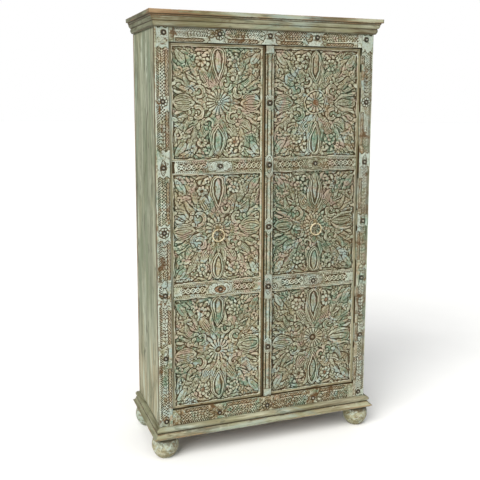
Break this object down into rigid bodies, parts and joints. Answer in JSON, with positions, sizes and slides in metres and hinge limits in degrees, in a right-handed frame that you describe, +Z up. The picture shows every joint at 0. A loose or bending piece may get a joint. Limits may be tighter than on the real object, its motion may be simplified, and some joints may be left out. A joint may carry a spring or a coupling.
{
  "type": "wardrobe",
  "caption": "Free-standing wardrobe with hinged doors, carved floral panels in worn paint, moulded cornice and plinth, bun feet, ring pulls and an inside hanging rail.",
  "frame": {"origin": "on the floor, in the middle of the overall footprint", "axes": "+Z up, +Y towards the back, +X to the right seen from the front"},
  "size_m": [1.02, 0.44, 1.83],
  "materials": {
    "carved_frame_paint": "worn pale green paint over carved hardwood, matte",
    "carved_door_paint": "worn sage and teal paint rubbed back on carved hardwood, matte",
    "side_paint": "thin grey-green paint over plain boards, matte",
    "cornice_paint": "worn olive paint over moulded hardwood, satin",
    "plinth_paint": "worn olive paint over moulded hardwood, satin",
    "foot_paint": "worn olive paint over turned hardwood, satin",
    "inside_wood": "bare brown hardwood, matte",
    "door_frame_wood": "brown hardwood with worn paint, matte",
    "stud_bronze": "dark aged bronze, worn bright on the crown",
    "ring_brass": "aged pale brass",
    "screw_steel": "dull aged steel",
    "hardware_iron": "dark aged iron"
  },
  "bodies": {
    "carcass": {"side_panel_left": "side_paint", "side_panel_right": "side_paint", "back_boards": "inside_wood", "floor_board": "inside_wood", "top_board": "inside_wood", "frame_stile_left": "carved_frame_paint", "frame_stile_right": "carved_frame_paint", "frame_bottom_rail": "carved_frame_paint", "frame_top_rail": "carved_frame_paint", "frame_studs": "stud_bronze", "cornice_front": "cornice_paint", "cornice_left": "cornice_paint", "cornice_right": "cornice_paint", "cornice_back": "cornice_paint", "cornice_cap": "cornice_paint", "plinth_front": "plinth_paint", "plinth_left": "plinth_paint", "plinth_right": "plinth_paint", "plinth_back": "plinth_paint", "feet": "foot_paint", "hat_shelf": "inside_wood", "shelf_cleats": "inside_wood", "hanging_rail": "inside_wood", "rail_sockets": "inside_wood", "door_stops": "inside_wood", "frame_hinge_leaves": "hardware_iron", "hinge_pins": "screw_steel", "frame_hinge_screws": "screw_steel"},
    "door_left": {"left_hinge_stile": "door_frame_wood", "left_meeting_stile": "door_frame_wood", "left_top_rail": "door_frame_wood", "left_upper_rail": "carved_door_paint", "left_lower_rail": "carved_door_paint", "left_bottom_rail": "door_frame_wood", "left_panel_top": "carved_door_paint", "left_panel_middle": "carved_door_paint", "left_panel_bottom": "carved_door_paint", "left_door_studs": "stud_bronze", "left_hinge_leaves": "hardware_iron", "left_door_screws": "screw_steel", "left_pull_eye": "ring_brass", "bolt_brackets": "hardware_iron"},
    "door_right": {"right_hinge_stile": "door_frame_wood", "right_meeting_stile": "door_frame_wood", "right_top_rail": "door_frame_wood", "right_upper_rail": "carved_door_paint", "right_lower_rail": "carved_door_paint", "right_bottom_rail": "door_frame_wood", "right_panel_top": "carved_door_paint", "right_panel_middle": "carved_door_paint", "right_panel_bottom": "carved_door_paint", "right_door_studs": "stud_bronze", "right_hinge_leaves": "hardware_iron", "right_door_screws": "screw_steel", "right_pull_eye": "ring_brass", "astragal": "carved_door_paint"},
    "ring_left": {"ring_left": "ring_brass"},
    "ring_right": {"ring_right": "ring_brass"},
    "bolt_top": {"top_bolt": "hardware_iron"},
    "bolt_bottom": {"bottom_bolt": "hardware_iron"}
  },
  "joints": [
    {"name": "door_left_hinge", "type": "hinge", "parent": "carcass", "child": "door_left", "pos_m": [-0.42375, -0.182, 0.9725], "axis": [0, 0, -1], "range_deg": [0, 110]},
    {"name": "door_right_hinge", "type": "hinge", "parent": "carcass", "child": "door_right", "pos_m": [0.42375, -0.182, 0.9725], "axis": [0, 0, 1], "range_deg": [0, 110]},
    {"name": "ring_left_swing", "type": "hinge", "parent": "door_left", "child": "ring_left", "pos_m": [-0.224, -0.19, 0.96], "axis": [-1, 0, 0], "range_deg": [-5, 120]},
    {"name": "ring_right_swing", "type": "hinge", "parent": "door_right", "child": "ring_right", "pos_m": [0.22, -0.19, 0.96], "axis": [-1, 0, 0], "range_deg": [-5, 120]},
    {"name": "bolt_top_slide", "type": "slide", "parent": "door_left", "child": "bolt_top", "axis": [0, 0, 1], "range_m": [0, 0.022]},
    {"name": "bolt_bottom_slide", "type": "slide", "parent": "door_left", "child": "bolt_bottom", "axis": [0, 0, -1], "range_m": [0, 0.022]}
  ]
}
